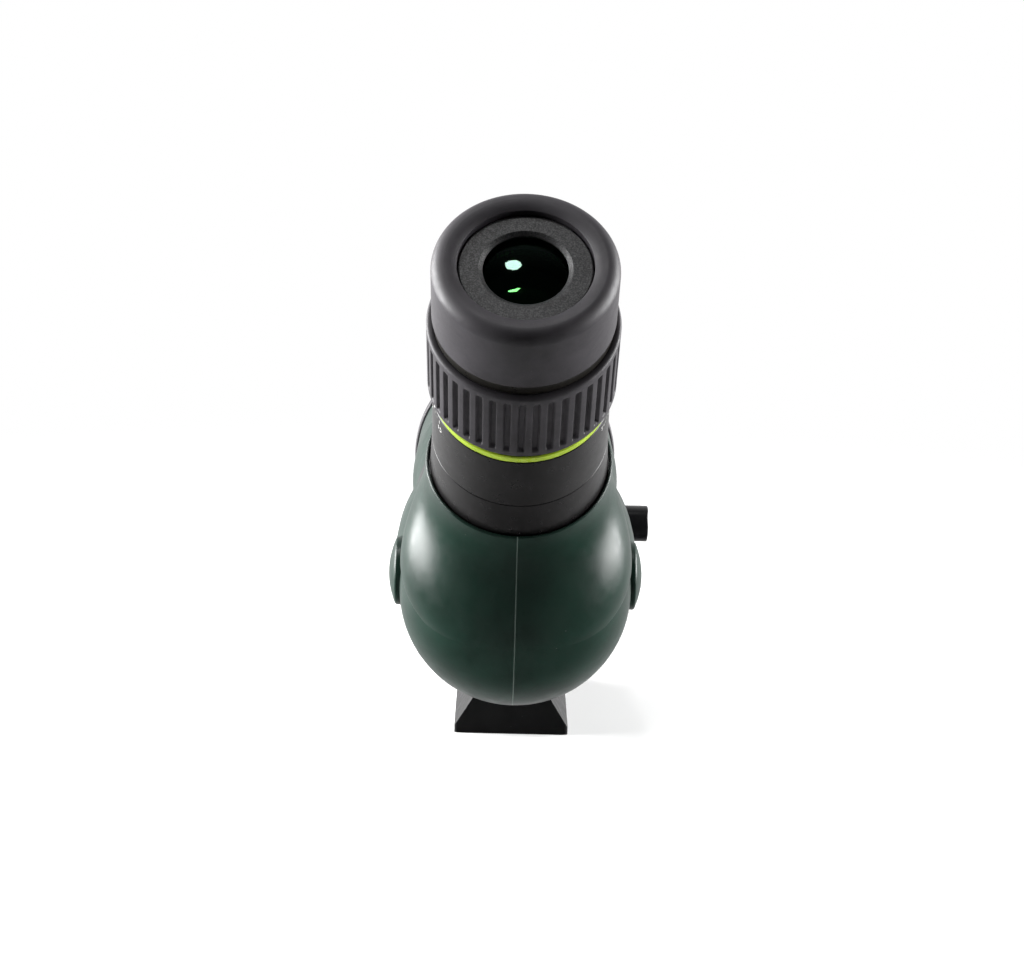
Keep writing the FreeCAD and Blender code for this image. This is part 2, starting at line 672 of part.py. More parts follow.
def to_exit_face(shape):
    """Local Y runs down the prism's exit face from its edge, local Z into the glass."""
    shape.rotate(V(0, 0, 0), V(1, 0, 0), -90 - EYE_TILT)
    shape.translate(V(0, PRISM_Y, PRISM_TOP))
    return shape


def prism_strap():
    inner = PRISM_HALF + RUN + HOLDER_PLATE + RUN
    outer = inner + 0.8
    strap = block((-outer, outer), (4.0, 8.0), (-RUN - 0.8, 3.8))
    strap = strap.cut(block((-inner, inner), (0, 10), (-RUN, 20)))
    strap = to_exit_face(strap)
    for side in (-1, 1):
        strap = strap.cut(strap_screw(side, 0.05))
    return strap


def strap_screw(side, extra):
    inner = PRISM_HALF + RUN + 0.1
    outer = inner + 2 * HOLDER_PLATE
    start, end = (inner, outer) if side > 0 else (-outer, -inner)
    screw = Part.makeCylinder(0.8 + extra, end - start, V(start, 6, 2.2), V(1, 0, 0))
    return to_exit_face(screw)


def prism_screws():
    screws = [strap_screw(side, 0.0) for side in (-1, 1)]
    for x, z in holder_posts():
        back = PRISM_Y + RUN
        screw = rod(1.0, back, TUBE_BACK + 5.0).fuse(rod(1.8, back - 1.2, back))
        screw.translate(V(x, -z, 0))
        screws.append(on_axis(screw))
    return screws


def make_prism():
    save("prism_holder", prism_holder())
    save("roof_prism", roof_prism())
    save("prism_strap", prism_strap())
    save("prism_screws", *prism_screws())


# --- focusing ----------------------------------------------------------------------------------
def focus_knob():
    core = FOCUS_KNOB_R - FOCUS_GRIP_WALL
    hub_back = FOCUS_KNOB_Y - FOCUS_HUB_LENGTH
    hub_front = FOCUS_KNOB_FRONT + FOCUS_HUB_LENGTH
    body = rod(core, FOCUS_KNOB_Y, FOCUS_KNOB_FRONT).fuse(rod(FOCUS_HUB_R, hub_back, hub_front))
    return body.cut(rod(ROD_R + RUN, hub_back - 1, hub_front + 1))


def focus_grip():
    start = FOCUS_KNOB_Y + 0.5
    end = FOCUS_KNOB_FRONT - 0.5
    body = ring(FOCUS_KNOB_R, FOCUS_KNOB_R - FOCUS_GRIP_WALL + RUN, start, end)
    body = rounded(body, 0.6, [(FOCUS_KNOB_R, start), (FOCUS_KNOB_R, end)])
    cutters = []
    for i in range(FOCUS_RIBS):
        cut = block((FOCUS_KNOB_R - 0.6, FOCUS_KNOB_R + 1), (-0.5, 0.5), (start + 2, end - 2))
        cut.rotate(V(0, 0, 0), V(0, 0, 1), 360.0 * i / FOCUS_RIBS)
        cutters.append(cut)
    return body.cut(cutters)


def focus_carriage():
    """The sliding lens tube, with the arm that the threaded rod moves."""
    tube = on_axis(ring(FOCUS_CELL_R, FOCUS_CELL_BORE, FOCUS_CELL_BACK, FOCUS_CELL_FRONT))
    half = ARM_WIDTH / 2
    arm = block((-half, half), (ARM_Y - ARM_LENGTH / 2, ARM_Y + ARM_LENGTH / 2),
                (AXIS_Z + FOCUS_CELL_R - 1.0, AXIS_Z + FOCUS_RISE + ROD_R))
    hole = on_axis(rod(ROD_R + RUN, ARM_Y - ARM_LENGTH, ARM_Y + ARM_LENGTH), FOCUS_RISE)
    return tube.fuse(arm).cut(hole)


def make_focusing():
    rod_back = FOCUS_KNOB_Y - FOCUS_HUB_LENGTH - FOCUS_TRAVEL - 0.2
    rod_front = ARM_Y + ARM_LENGTH / 2
    sleeve = ring(TUBE_BORE - RUN, FOCUS_CELL_R + RUN, *FOCUS_SLEEVE)
    glass = lens(FOCUS_CELL_BORE - RUN, 15.0, 18.0, -1.2, -1.2)
    save("focus_knob", on_axis(focus_knob(), FOCUS_RISE))
    save("focus_grip", on_axis(focus_grip(), FOCUS_RISE))
    save("focus_rod", on_axis(rod(ROD_R, rod_back, rod_front), FOCUS_RISE))
    save("focus_carriage", focus_carriage())
    save("focus_sleeve", on_axis(sleeve))
    save("focus_lens", on_axis(glass))


# --- main tube, objective and sunshade -----------------------------------------------------------
def tube_radius(y, radius):
    """Radius of a wall of the main tube at y, from its value at the collar."""
    share = min(max((y - FLARE_START) / (FLARE_END - FLARE_START), 0.0), 1.0)
    return radius + (FRONT_R - TUBE_R) * share


def main_tube():
    tube = turned([
        (TUBE_R, TUBE_BACK), (TUBE_R, FLARE_START), (FRONT_R, FLARE_END), (FRONT_R, TUBE_FRONT),
        (FRONT_BORE, TUBE_FRONT), (FRONT_BORE, FLARE_END), (TUBE_BORE, FLARE_START),
        (TUBE_BORE, TUBE_BACK),
    ])
    half = ARM_WIDTH / 2 + 0.5
    slot_end = ARM_Y + ARM_LENGTH / 2 + FOCUS_TRAVEL + 0.5
    slot = block((-half, half), (TUBE_BACK - 1, slot_end), (AXIS_Z, AXIS_Z + TUBE_R + 5))
    return on_axis(tube).cut(slot)


def tube_armour():
    """Skin over the flare, with an ogee outline."""
    ogee = Part.BSplineCurve()
    outer = TUBE_R + RUN + ARMOUR_SKIN
    grow = SHADE_R - outer
    span = ARMOUR_END - ARMOUR_START
    shares = ((0.0, 0.0), (0.25, 0.10), (0.5, 0.42), (0.75, 0.82), (0.95, 1.0), (1.0, 1.0))
    ogee.interpolate([V(outer + grow * r, 0, ARMOUR_START + span * y) for y, r in shares])
    inner = [(SHADE_R, ARMOUR_END), (FRONT_R + RUN, ARMOUR_END), (FRONT_R + RUN, FLARE_END),
             (TUBE_R + RUN, FLARE_START), (TUBE_R + RUN, ARMOUR_START), (outer, ARMOUR_START)]
    line = Part.makePolygon([V(r, 0, y) for r, y in inner])
    wire = Part.Wire([ogee.toShape()] + line.Edges)
    return Part.Face(wire).revolve(V(0, 0, 0), V(0, 0, 1), 360)


def light_baffles():
    rings = []
    for y, opening in ((46.0, 28.0), (60.0, 28.8), (74.0, 29.6)):
        outer = tube_radius(y, TUBE_BORE) - RUN
        rings.append(on_axis(ring(outer, opening, y, y + 0.8)))
    return rings


def objective_cell():
    outer = FRONT_BORE - RUN
    seat = OBJECTIVE_R + RUN
    groove = CELL_BACK + 6.0
    return turned([
        (OBJECTIVE_R - 2.0, CELL_BACK), (outer, CELL_BACK), (outer, groove - 1.0),
        (outer - 1.2, groove - 1.0), (outer - 1.2, groove + 1.0), (outer, groove + 1.0),
        (outer, CELL_FRONT), (seat, CELL_FRONT), (seat, LENS_BACK), (OBJECTIVE_R - 2.0, LENS_BACK),
    ])


def shade_rim():
    """Rubber bumper round the sunshade's mouth."""
    step = SHADE_R - RIM_STEP + RUN
    rim = turned([
        (step, RIM_BACK), (RIM_R, RIM_BACK), (RIM_R, SHADE_FRONT + 2.0),
        (SHADE_BORE - 1.0, SHADE_FRONT + 2.0), (SHADE_BORE - 1.0, SHADE_FRONT + RUN),
        (step, SHADE_FRONT + RUN),
    ])
    return rounded(rim, 0.9, [(RIM_R, SHADE_FRONT + 2.0), (RIM_R, RIM_BACK)])


def sunshade():
    step = SHADE_R - RIM_STEP
    return turned([
        (SHADE_BORE, SHADE_BACK), (SHADE_R - 0.4, SHADE_BACK), (SHADE_R, SHADE_BACK + 0.4),
        (SHADE_R, RIM_BACK - 0.1), (step, RIM_BACK - 0.1), (step, SHADE_FRONT),
        (SHADE_BORE, SHADE_FRONT),
    ])


def make_front():
    flint_front = LENS_BACK + FLINT_THICK
    crown_back = flint_front + SPACER
    crown_front = crown_back + CROWN_THICK
    save("main_tube", main_tube())
    save("tube_armour", on_axis(tube_armour()))
    save("light_baffles", *light_baffles())
    save("objective_cell", on_axis(objective_cell()))
    save("flint_lens", on_axis(lens(OBJECTIVE_R, LENS_BACK, flint_front, 0.0, -2.5)))
    inner = OBJECTIVE_R - RETAINER_WALL
    spacer = ring(OBJECTIVE_R, inner, flint_front, crown_back - edge_rise(OBJECTIVE_R, 2.0, inner))
    save("lens_spacer", on_axis(spacer))
    save("crown_lens", on_axis(lens(OBJECTIVE_R, crown_back, crown_front, 2.0, 2.5)))
    retainer_back = crown_front + edge_rise(OBJECTIVE_R, 2.5, inner)
    retainer = ring(OBJECTIVE_R, inner, retainer_back, CELL_FRONT - 1.0)
    save("objective_retainer", on_axis(retainer))
    save("objective_seal", on_axis(o_ring(FRONT_BORE - RUN - 0.6, 1.1, CELL_BACK + 6.0)))
    save("shade_felt", on_axis(ring(SHADE_BORE - RUN, FRONT_R + RUN, *FELT)))
    save("sunshade", on_axis(sunshade()))
    save("shade_rim", on_axis(shade_rim()))


# --- tripod collar and foot ----------------------------------------------------------------------
def collar_ring():
    half = NECK_WIDTH / 2 + 1.0
    body = on_axis(rod(COLLAR_R, COLLAR_BACK, COLLAR_FRONT))
    body = body.fuse(block((-half, half), (COLLAR_BACK + 1.5, COLLAR_FRONT - 1.5),
                           (FOOT_JOINT_Z, AXIS_Z - COLLAR_BORE + 5)))
    body = body.fuse(along_x(rod(LOCK_R - 0.5, 20, LOCK_BOSS_OUT), COLLAR_Y, AXIS_Z))
    body = body.cut(on_axis(rod(COLLAR_BORE, COLLAR_BACK - 1, COLLAR_FRONT + 1)))
    body = body.cut(along_x(rod(SHOE_R + GAP, 20, SHOE_OUT + SHOE_TRAVEL + 0.2), COLLAR_Y, AXIS_Z))
    body = body.cut(along_x(rod(LOCK_SCREW_R + RUN, 20, 60), COLLAR_Y, AXIS_Z))
    for y in FOOT_SCREWS_Y:
        body = body.cut(Part.makeCylinder(FOOT_SCREW_R + RUN, 5.2, V(0, y, FOOT_JOINT_Z)))
    return body


def collar_liner():
    liner = on_axis(ring(TUBE_R + RUN + LINER_WALL, TUBE_R + RUN, COLLAR_BACK, COLLAR_FRONT))
    return liner.cut(along_x(rod(SHOE_R + GAP, 20, 40), COLLAR_Y, AXIS_Z))


def clamp_shoe():
    shoe = along_x(rod(SHOE_R, 20, SHOE_OUT), COLLAR_Y, AXIS_Z)
    return shoe.cut(on_axis(rod(TUBE_R + RUN, COLLAR_BACK, COLLAR_FRONT)))


def lock_knob():
    knob = rod(LOCK_R, LOCK_OUT - LOCK_LENGTH, LOCK_OUT)
    knob = rounded(knob, 0.7, [(LOCK_R, LOCK_OUT)])
    return along_x(knob.cut(rod(LOCK_SCREW_R, 20, LOCK_OUT - 1.5)), COLLAR_Y, AXIS_Z)


def foot():
    """A dovetail block with a gusset that leans forward under the collar."""
    half = FOOT_WIDTH / 2
    top = FOOT_TOP_WIDTH / 2
    corners = [(-half, 0), (half, 0), (half, FOOT_LIP), (top, FOOT_TOP), (-top, FOOT_TOP),
               (-half, FOOT_LIP)]
    points = [V(x, FOOT_BACK, z) for x, z in corners]
    face = Part.Face(Part.makePolygon(points + points[:1]))
    body = face.extrude(V(0, FOOT_FRONT - FOOT_BACK, 0))
    low = [e for e in body.Edges if e.BoundBox.XLength < 0.1 and e.BoundBox.YLength < 0.1]
    body = body.makeFillet(1.2, low)
    neck = NECK_WIDTH / 2
    side = [V(0, FOOT_BACK + 10, FOOT_TOP - 1), V(0, COLLAR_BACK, FOOT_JOINT_Z),
            V(0, COLLAR_FRONT - 1.5, FOOT_JOINT_Z), V(0, COLLAR_FRONT - 0.5, FOOT_TOP - 1)]
    body = body.fuse(extruded(side, -neck, neck))
    body = body.cut(rod(INSERT_R + RUN, -1, THREAD_LENGTH))
    for y in FOOT_SCREWS_Y:
        body = body.cut(Part.makeCylinder(FOOT_SCREW_R + RUN, 40, V(0, y, -1)))
        body = body.cut(Part.makeCylinder(FOOT_HEAD_R + 0.2, 1 + FOOT_HEAD_TOP, V(0, y, -1)))
    return body


def foot_screw(y):
    shank = Part.makeCylinder(FOOT_SCREW_R, FOOT_JOINT_Z + 4.8 - FOOT_HEAD_TOP, V(0, y, FOOT_HEAD_TOP))
    head = Part.makeCylinder(FOOT_HEAD_R, 4.4, V(0, y, FOOT_HEAD_TOP - 4.4))
    key = Part.makeCylinder(2.0, 2.5, V(0, y, FOOT_HEAD_TOP - 4.4))
    return shank.fuse(head).cut(key)


def make_collar():
    save("collar_ring", collar_ring())
    save("collar_liner", collar_liner())
    save("clamp_shoe", clamp_shoe())
    save("lock_screw", along_x(rod(LOCK_SCREW_R, SHOE_OUT + RUN, LOCK_OUT - 1.6), COLLAR_Y, AXIS_Z))
    save("lock_knob", lock_knob())
    save("foot", foot())
    save("foot_screws", *[foot_screw(y) for y in FOOT_SCREWS_Y])
    save("thread_insert", ring(INSERT_R, THREAD_R, 0, THREAD_LENGTH))


if __name__ == "__main__":
    make_eyepiece()
    make_housing()
    make_prism()
    make_focusing()
    make_front()
    make_collar()
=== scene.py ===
import json
import math

import bpy
from mathutils import Matrix, Vector


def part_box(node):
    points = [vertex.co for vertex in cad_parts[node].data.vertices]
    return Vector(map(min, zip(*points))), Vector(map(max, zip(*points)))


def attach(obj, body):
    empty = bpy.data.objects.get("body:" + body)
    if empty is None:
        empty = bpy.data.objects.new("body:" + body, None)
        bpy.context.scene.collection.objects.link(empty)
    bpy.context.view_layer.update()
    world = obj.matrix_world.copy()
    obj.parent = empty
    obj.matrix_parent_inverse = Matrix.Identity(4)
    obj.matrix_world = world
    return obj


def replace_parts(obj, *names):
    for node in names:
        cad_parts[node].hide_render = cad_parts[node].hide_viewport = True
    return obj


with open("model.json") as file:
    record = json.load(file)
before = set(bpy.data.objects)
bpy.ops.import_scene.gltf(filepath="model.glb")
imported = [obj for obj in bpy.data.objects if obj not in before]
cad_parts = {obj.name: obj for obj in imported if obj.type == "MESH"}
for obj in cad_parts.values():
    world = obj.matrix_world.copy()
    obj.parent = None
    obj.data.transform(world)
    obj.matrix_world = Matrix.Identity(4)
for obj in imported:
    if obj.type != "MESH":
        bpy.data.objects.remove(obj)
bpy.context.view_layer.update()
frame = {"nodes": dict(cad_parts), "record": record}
nodes = frame["nodes"]
scene = bpy.context.scene
MM = 0.001


# --- places that come from the frame ---------------------------------------------------------
def middle(node):
    low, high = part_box(node)
    return (Vector(low) + Vector(high)) / 2


AXIS_Z = middle("sunshade").z
EYE_DOWN = Vector((0, 1, -1)).normalized()
EYE_BACK = Vector((0, -1, -1)).normalized()
EYE = middle("eyecup_carrier") - EYE_DOWN * 13.1 * MM
RIGHT = Vector((1, 0, 0))

# Depths down the eyepiece axis and radii round it, in millimetres.
GRIP_START, GRIP_END, GRIP_R, GRIP_BORE = 23.6, 51.6, 27.5, 24.35
GRIP_BAND = 2.3
RIBS = 42
SCALE_DEPTH, BARREL_R = 60.6, 26.05
ZOOM_FIRST, ZOOM_STEP = 155.0, 20.0
ZOOM_NUMBERS = ("15", "20", "25", "30", "35", "40", "45")


def round_eye(angle, depth, radius):
    """A point round the eyepiece axis: angle in degrees, 90 faces the rear and down."""
    turn = math.radians(angle)
    out = RIGHT * math.cos(turn) + EYE_BACK * math.sin(turn)
    return EYE + EYE_DOWN * depth * MM + out * radius * MM


# --- material building blocks --------------------------------------------------------------------
class Finish:
    """One procedural material and the short-hand to wire it."""

    def __init__(self, name, colour, roughness, metallic=0.0):
        self.mat = bpy.data.materials.new(name)
        self.mat.use_nodes = True
        self.tree = self.mat.node_tree
        self.bsdf = self.tree.nodes["Principled BSDF"]
        self.out = self.tree.nodes["Material Output"]
        self.bsdf.inputs["Base Color"].default_value = (*colour, 1)
        self.bsdf.inputs["Roughness"].default_value = roughness
        self.bsdf.inputs["Metallic"].default_value = metallic
        self.place = self.tree.nodes.new("ShaderNodeTexCoord").outputs["Object"]
        self.normal = None

    def node(self, kind, **inputs):
        made = self.tree.nodes.new(kind)
        for key, value in inputs.items():
            self.feed(made.inputs[key.replace("_", " ")], value)
        return made

    def feed(self, socket, value):
        if hasattr(value, "links"):
            self.tree.links.new(value, socket)
        else:
            socket.default_value = value

    def noise(self, size_mm, detail=3.0, rough=0.55, vector=None):
        made = self.node("ShaderNodeTexNoise", Scale=1000.0 / size_mm, Detail=detail, Roughness=rough)
        self.feed(made.inputs["Vector"], vector or self.place)
        return made.outputs["Fac"]

    def cells(self, size_mm):
        made = self.node("ShaderNodeTexVoronoi", Scale=1000.0 / size_mm)
        self.feed(made.inputs["Vector"], self.place)
        return made.outputs["Distance"], made.outputs["Color"]

    def remap(self, value, low, high, to_low, to_high):
        made = self.node("ShaderNodeMapRange")
        made.interpolation_type = "SMOOTHSTEP"
        for place, number in enumerate((value, low, high, to_low, to_high)):
            self.feed(made.inputs[place], number)
        return made.outputs["Result"]

    def maths(self, operation, a, b=0.0):
        made = self.tree.nodes.new("ShaderNodeMath")
        made.operation = operation
        self.feed(made.inputs[0], a)
        self.feed(made.inputs[1], b)
        return made.outputs[0]

    def blend(self, share, a, b):
        made = self.tree.nodes.new("ShaderNodeMix")
        made.data_type = "RGBA"
        self.feed(made.inputs["Factor"], share)
        self.feed(made.inputs["A"], a if hasattr(a, "links") else (*a, 1))
        self.feed(made.inputs["B"], b if hasattr(b, "links") else (*b, 1))
        return made.outputs["Result"]

    def along(self, axis):
        made = self.node("ShaderNodeSeparateXYZ", Vector=self.place)
        return made.outputs[axis]

    def soft_edges(self, radius_mm):
        """Rounds the shading of moulded and turned edges."""
        made = self.tree.nodes.new("ShaderNodeBevel")
        made.samples = 4
        made.inputs["Radius"].default_value = radius_mm * MM
        self.normal = made.outputs["Normal"]

    def bump(self, height, depth_mm, strength=1.0):
        made = self.node("ShaderNodeBump", Height=height, Strength=strength, Distance=depth_mm * MM)
        if self.normal:
            self.feed(made.inputs["Normal"], self.normal)
        self.normal = made.outputs["Normal"]

    def specks(self, size_mm, share, width):
        """Sparse dust: 1 at a speck, 0 elsewhere."""
        distance, colour = self.cells(size_mm)
        chosen = self.node("ShaderNodeSeparateColor", Color=colour).outputs["Red"]
        dot = self.remap(distance, width * 0.5, width, 1.0, 0.0)
        return self.maths("MULTIPLY", dot, self.maths("GREATER_THAN", chosen, 1.0 - share))

    def colour(self, value):
        self.feed(self.bsdf.inputs["Base Color"], value)

    def rough(self, value):
        self.feed(self.bsdf.inputs["Roughness"], value)

    def done(self):
        if self.normal:
            self.tree.links.new(self.normal, self.bsdf.inputs["Normal"])
        return self.mat


def shade(colour, share):
    return tuple(c * share for c in colour)


def moulded(name, colour, roughness, grain_mm, grain_depth,
            dust=0.0, edge=0.25, specular=0.5, seam=False):
    """Moulded rubber or plastic: fine grain, cloudy tone, rubbed patches and dust."""
    f = Finish(name, colour, roughness)
    f.bsdf.inputs["Specular IOR Level"].default_value = specular
    clouds = f.noise(14.0, 4.0)
    grain = f.noise(grain_mm, 2.0, 0.6)
    tone = f.blend(f.remap(clouds, 0.3, 0.7, 0.0, 1.0), shade(colour, 0.82), shade(colour, 1.16))
    tone = f.blend(f.remap(grain, 0.35, 0.75, 0.0, 0.35), tone, shade(colour, 1.5))
    rubbed = f.noise(5.0, 5.0, 0.7)
    gloss = f.remap(rubbed, 0.3, 0.75, roughness * 1.12, roughness * 0.84)
    if dust:
        speck = f.specks(2.6, dust, 0.055)
        fine = f.specks(1.1, dust * 0.6, 0.07)
        marks = f.maths("MAXIMUM", speck, f.maths("MULTIPLY", fine, 0.6))
        tone = f.blend(f.maths("MULTIPLY", marks, 0.55), tone, (0.42, 0.43, 0.42))
    f.soft_edges(edge)
    f.bump(grain, grain_depth, 0.28)
    if seam:
        side = f.maths("ABSOLUTE", f.along("X"))
        line = f.remap(side, 0.00007, 0.00022, 1.0, 0.0)
        tone = f.blend(f.maths("MULTIPLY", line, 0.22), tone, (0.35, 0.42, 0.38))
        f.bump(line, 0.05, 0.7)
    f.colour(tone)
    f.rough(gloss)
    return f.done()


def coated_metal(name, colour, roughness, metallic=0.0, edge=0.2, wear=0.25, specular=0.5):
    """Black or coloured coat on turned metal: fine grain, cloudy tone, dulled patches, pale worn
    specks and softened edges.
    """
    f = Finish(name, colour, roughness, metallic)
    f.bsdf.inputs["Specular IOR Level"].default_value = specular
    clouds = f.noise(9.0, 4.0)
    grain = f.noise(0.22, 2.0, 0.6)
    tone = f.blend(f.remap(clouds, 0.3, 0.7, 0.0, 1.0), shade(colour, 0.85), shade(colour, 1.18))
    speck = f.specks(1.9, 0.05, 0.05)
    tone = f.blend(f.maths("MULTIPLY", speck, 0.3 + wear), tone, (0.4, 0.39, 0.38))
    f.soft_edges(edge)
    f.bump(grain, 0.012, 0.25)
    f.colour(tone)
    f.rough(f.remap(f.noise(4.0, 5.0, 0.7), 0.3, 0.75, roughness * 1.18, roughness * 0.85))
    return f.done()


def bare_metal(name, colour, roughness):
    """Machined brass or steel with drawn scratches."""
    f = Finish(name, colour, roughness, 1.0)
    stretch = f.node("ShaderNodeMapping", Vector=f.place, Scale=(1.0, 12.0, 1.0)).outputs["Vector"]
    lines = f.noise(0.5, 3.0, 0.6, stretch)
    f.colour(f.blend(f.remap(lines, 0.3, 0.7, 0.0, 1.0), shade(colour, 0.8), shade(colour, 1.1)))
    f.rough(f.remap(lines, 0.3, 0.7, roughness * 0.8, roughness * 1.3))
    f.bump(lines, 0.01, 0.5)
    return f.done()


def cloth(name, colour):
    """Felt: matted fibres with a soft sheen."""
    f = Finish(name, colour, 0.95)
    f.bsdf.inputs["Sheen Weight"].default_value = 0.5
    fibre = f.noise(0.4, 6.0, 0.75)
    f.colour(f.blend(f.remap(fibre, 0.3, 0.7, 0.0, 1.0), shade(colour, 0.6), shade(colour, 1.6)))
    f.bump(fibre, 0.15)
    return f.done()


def grainy_bezel(name):
    """Black bezel with a coarse sparkled grain."""
    colour = (0.022, 0.022, 0.023)
    f = Finish(name, colour, 0.42)
    grain = f.noise(0.42, 3.0, 0.7)
    distance, _ = f.cells(0.5)
    lumps = f.remap(distance, 0.1, 0.6, 1.0, 0.0)
    both = f.maths("ADD", f.maths("MULTIPLY", grain, 0.7), f.maths("MULTIPLY", lumps, 0.5))
    tone = f.blend(f.remap(grain, 0.42, 0.68, 0.0, 1.0), shade(colour, 0.6), shade(colour, 2.4))
    dust = f.specks(0.9, 0.05, 0.08)
    f.colour(f.blend(f.maths("MULTIPLY", dust, 0.5), tone, (0.35, 0.35, 0.33)))
    f.rough(f.remap(grain, 0.3, 0.7, 0.62, 0.32))
    f.soft_edges(0.2)
    f.bump(both, 0.05, 0.9)
    return f.done()


def coated_glass(name, tint, coat, share, film):
    """A thin clear element: it lets tinted light through and mirrors the coating's colour."""
    f = Finish(name, (0.02, 0.03, 0.03), 0.02)
    clear = f.tree.nodes.new("ShaderNodeBsdfTransparent")
    clear.inputs["Color"].default_value = (*tint, 1)
    mirror = f.tree.nodes.new("ShaderNodeBsdfGlossy")
    smear = f.noise(6.0, 4.0, 0.6)
    f.feed(mirror.inputs["Color"], f.blend(f.remap(smear, 0.35, 0.65, 0.0, 1.0), coat, film))
    f.feed(mirror.inputs["Roughness"], f.remap(f.noise(2.0, 3.0), 0.4, 0.8, 0.02, 0.05))
    edge = f.node("ShaderNodeFresnel", IOR=1.25).outputs["Fac"]
    amount = f.maths("MINIMUM", f.maths("ADD", f.maths("MULTIPLY", edge, 0.8), share), 0.9)
    both = f.tree.nodes.new("ShaderNodeMixShader")
    f.feed(both.inputs["Fac"], amount)
    f.feed(both.inputs[1], clear.outputs[0])
    f.feed(both.inputs[2], mirror.outputs[0])
    f.feed(f.out.inputs["Surface"], both.outputs[0])
    return f.mat


GREEN = (0.0065, 0.0225, 0.0155)
RUBBER = (0.034, 0.031, 0.036)
BLACK = (0.009, 0.0082, 0.0086)

finishes = {
    "green_armour": moulded("green_armour", GREEN, 0.33, 0.28, 0.022, 0.05, 0.5),
    "black_rubber": moulded("black_rubber", RUBBER, 0.52, 0.20, 0.02, 0.06, 0.3, 0.45),
    "seal_rubber": moulded("seal_rubber", shade(RUBBER, 0.6), 0.45, 0.15, 0.01),
    "black_plastic": moulded("black_plastic", (0.02, 0.02, 0.02), 0.5, 0.25, 0.02),
    "knob_gloss": moulded("knob_gloss", (0.010, 0.010, 0.011), 0.16, 0.3, 0.003, 0.02, 0.3),
    "black_satin": coated_metal("black_satin", BLACK, 0.30),
    "sleeve_metal": coated_metal("sleeve_metal", (0.030, 0.028, 0.024), 0.30, 0.6),
    "bezel_black": grainy_bezel("bezel_black"),
    "lime_ring": coated_metal("lime_ring", (0.30, 0.42, 0.022), 0.28, 0.0, 0.3),
    "eye_glass": coated_glass("eye_glass", (0.80, 0.90, 0.86), (0.55, 1.0, 0.80),
                              0.012, (0.65, 1.0, 0.85)),
    "front_glass": coated_glass("front_glass", (0.75, 0.9, 0.82), (0.35, 0.9, 0.55),
                                0.07, (0.55, 0.5, 1.0)),
    "coated_glass": coated_glass("coated_glass", (0.55, 0.75, 0.62), (0.30, 0.95, 0.22),
                                 0.06, (0.35, 1.0, 0.3)),
    "black_anodised": coated_metal("black_anodised", (0.008, 0.008, 0.009), 0.5, 0.0, 0.1, 0.0, 0.3),
    "brass_inner": bare_metal("brass_inner", (0.72, 0.52, 0.24), 0.28),
    "steel_inner": bare_metal("steel_inner", (0.55, 0.55, 0.56), 0.3),
    "collar_black": coated_metal("collar_black", (0.007, 0.007, 0.0075), 0.34, 0.0, 0.4),
    "felt": cloth("felt", (0.012, 0.012, 0.013)),
}
for part in frame["record"]["subparts"]:
    mesh = nodes[part["node"]].data
    mesh.materials.clear()
    mesh.materials.append(finishes[part["material_slot"]])
housing_green = moulded("housing_green", GREEN, 0.33, 0.28, 0.022, 0.05, 0.7, 0.5, True)
for name in ("housing_left", "housing_right"):
    nodes[name].data.materials[0] = housing_green
white_print = moulded("white_print", (0.62, 0.62, 0.60), 0.5, 0.2, 0.01, 0.0, 0.05)


# --- pieces ---------------------------------------------------------------------------------------
def piece(name, points, faces, material, body, smooth=True):
    mesh = bpy.data.meshes.new(name)
    mesh.from_pydata([tuple(p) for p in points], [], faces)
    mesh.materials.append(finishes[material] if material in finishes else material)
    for face in mesh.polygons:
        face.use_smooth = smooth
    made = bpy.data.objects.new(name, mesh)
    scene.collection.objects.link(made)
    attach(made, body)
    return made


def step(x, low, high):
    t = min(max((x - low) / (high - low), 0.0), 1.0)
    return t * t * (3 - 2 * t)


def grip_stations():
    """(depth, radius, groove share) along the grip's outside, with rounded ends."""
    stations = []
    round_mm = 0.9
    for i in range(6):
        a = math.radians(90 * i / 5)
        stations.append((GRIP_START + round_mm * (1 - math.sin(a)),
                         GRIP_R - round_mm * (1 - math.cos(a)), 0.0))
    stations = stations[::-1]
    start = GRIP_START + GRIP_BAND
    end = GRIP_END - GRIP_BAND
    for i in range(7):
        stations.append((start + 1.1 * i / 6, GRIP_R, step(i / 6, 0.0, 1.0)))
    for i in range(1, 10):
        stations.append((start + 1.1 + (end - start - 2.2) * i / 10, GRIP_R, 1.0))
    for i in range(7):
        stations.append((end - 1.1 + 1.1 * i / 6, GRIP_R, step(1 - i / 6, 0.0, 1.0)))
    for i in range(6):
        a = math.radians(90 * i / 5)
        stations.append((GRIP_END - round_mm * (1 - math.sin(a)),
                         GRIP_R - round_mm * (1 - math.cos(a)), 0.0))
    return stations


def make_grip():
    per_rib = 22
    around = RIBS * per_rib
    stations = sorted(set(grip_stations()))
    outline = stations + [(GRIP_END, GRIP_BORE, 0.0), (GRIP_START, GRIP_BORE, 0.0)]
    points = []
    for k in range(around):
        angle = 360.0 * k / around
        across = abs((k % per_rib) / per_rib - 0.5) * 2
        groove = 1.2 * (1 - step(across, 0.34, 0.50))
        for depth, radius, share in outline:
            points.append(round_eye(angle, depth, radius - groove * share))
    faces = []
    count = len(outline)
    for k in range(around):
        here, there = k * count, (k + 1) % around * count
        for i in range(count):
            j = (i + 1) % count
            faces.append((here + i, here + j, there + j, there + i))
    made = piece("grip_rubber", points, faces, "black_rubber", "zoom_ring")
    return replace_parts(made, "zoom_grip")


